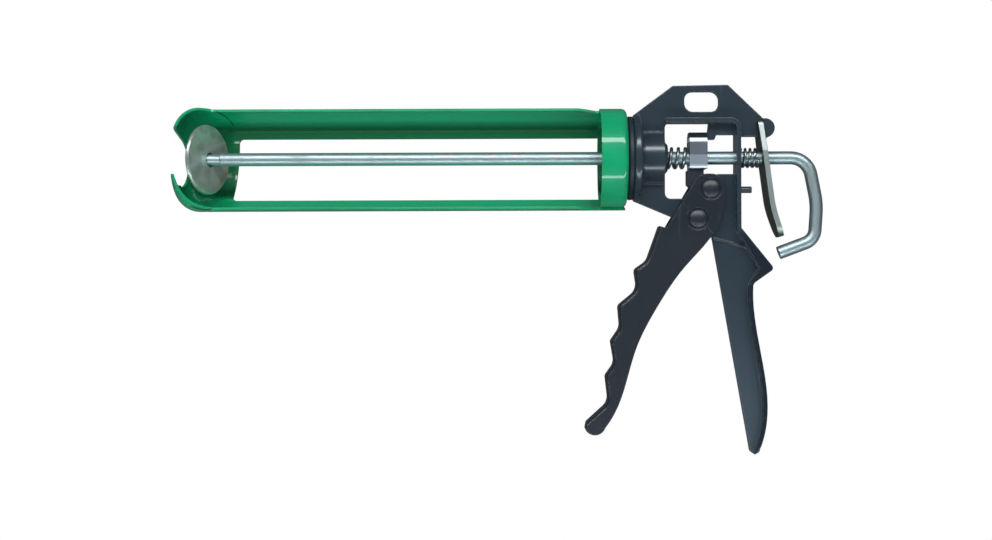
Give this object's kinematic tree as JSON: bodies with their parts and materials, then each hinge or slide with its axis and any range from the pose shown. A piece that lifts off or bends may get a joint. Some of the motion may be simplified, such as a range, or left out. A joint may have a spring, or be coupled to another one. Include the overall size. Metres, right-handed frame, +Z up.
{
  "type": "caulking gun",
  "caption": "Skeleton caulking gun with an open swivelling cradle, round push rod with pull hook, squeeze trigger with finger grooves, release lever and a frame with a hang slot.",
  "frame": {"origin": "centre of the cartridge seat: the cup's inner floor on the push rod's axis", "axes": "+X to the rear along the push rod, towards the pull hook; +Z up, with the handle hanging down; the cradle opens towards -Y"},
  "size_m": [0.3437, 0.054, 0.1958],
  "materials": {
    "black_casting": "satin black paint over a casting",
    "black_trigger": "satin black paint over a casting",
    "black_rivet": "satin black",
    "black_nylon": "matt",
    "green_paint": "gloss green paint on sheet steel",
    "rod_steel": "zinc plated, drawn along the rod",
    "zinc_steel": "zinc plated",
    "spring_steel": "bright spring wire",
    "driver_steel": "machined",
    "plunger_zinc": "dull zinc plating"
  },
  "bodies": {
    "frame": {"frame_casting": "black_casting", "swivel_washer": "black_nylon", "swivel_inner_washer": "zinc_steel", "swivel_circlip": "spring_steel", "return_spring": "spring_steel", "release_spring": "spring_steel"},
    "cradle": {"cradle_shell": "green_paint", "cradle_cup": "green_paint"},
    "trigger": {"trigger": "black_trigger", "trigger_pivot_rivet": "black_rivet", "drive_pin_rivet": "black_rivet", "drive_sleeve": "spring_steel"},
    "driver": {"grip_driver": "driver_steel"},
    "lever": {"release_lever": "zinc_steel"},
    "plunger_carrier": {"plunger_washer": "zinc_steel"},
    "rod": {"push_rod": "rod_steel", "plunger_nut": "zinc_steel"},
    "plunger": {"plunger_plate": "plunger_zinc"}
  },
  "joints": [
    {"name": "cradle_spin", "type": "hinge", "parent": "frame", "child": "cradle", "pos_m": [0, 0, 0], "axis": [1, 0, 0], "continuous": true},
    {"name": "rod_slide", "type": "slide", "parent": "frame", "child": "plunger_carrier", "axis": [1, 0, 0], "range_m": [0, 0.205]},
    {"name": "rod_spin", "type": "hinge", "parent": "plunger_carrier", "child": "rod", "pos_m": [0, 0, 0], "axis": [1, 0, 0], "continuous": true},
    {"name": "plunger_rock", "type": "hinge", "parent": "plunger_carrier", "child": "plunger", "pos_m": [-0.2203, 0, 0], "axis": [0, 0, 1], "range_deg": [0, 50]},
    {"name": "trigger_squeeze", "type": "hinge", "parent": "frame", "child": "trigger", "pos_m": [0.0387, 0, -0.0324], "axis": [0, -1, 0], "range_deg": [0, 25], "stiffness_Nm_per_rad": 0.5, "springref_deg": -20.05},
    {"name": "driver_slide", "type": "slide", "parent": "frame", "child": "driver", "axis": [-1, 0, 0], "range_m": [0, 0.0074], "deforming": ["return_spring"]},
    {"name": "lever_release", "type": "hinge", "parent": "frame", "child": "lever", "pos_m": [0.0731, 0, 0.0178], "axis": [0, 1, 0], "range_deg": [0, 9], "stiffness_Nm_per_rad": 0.3, "springref_deg": -11.46, "deforming": ["release_spring"]}
  ],
  "couplings": [
    {"joint": "driver_slide", "follows": "trigger_squeeze", "m_per_rad": 0.01676}
  ]
}
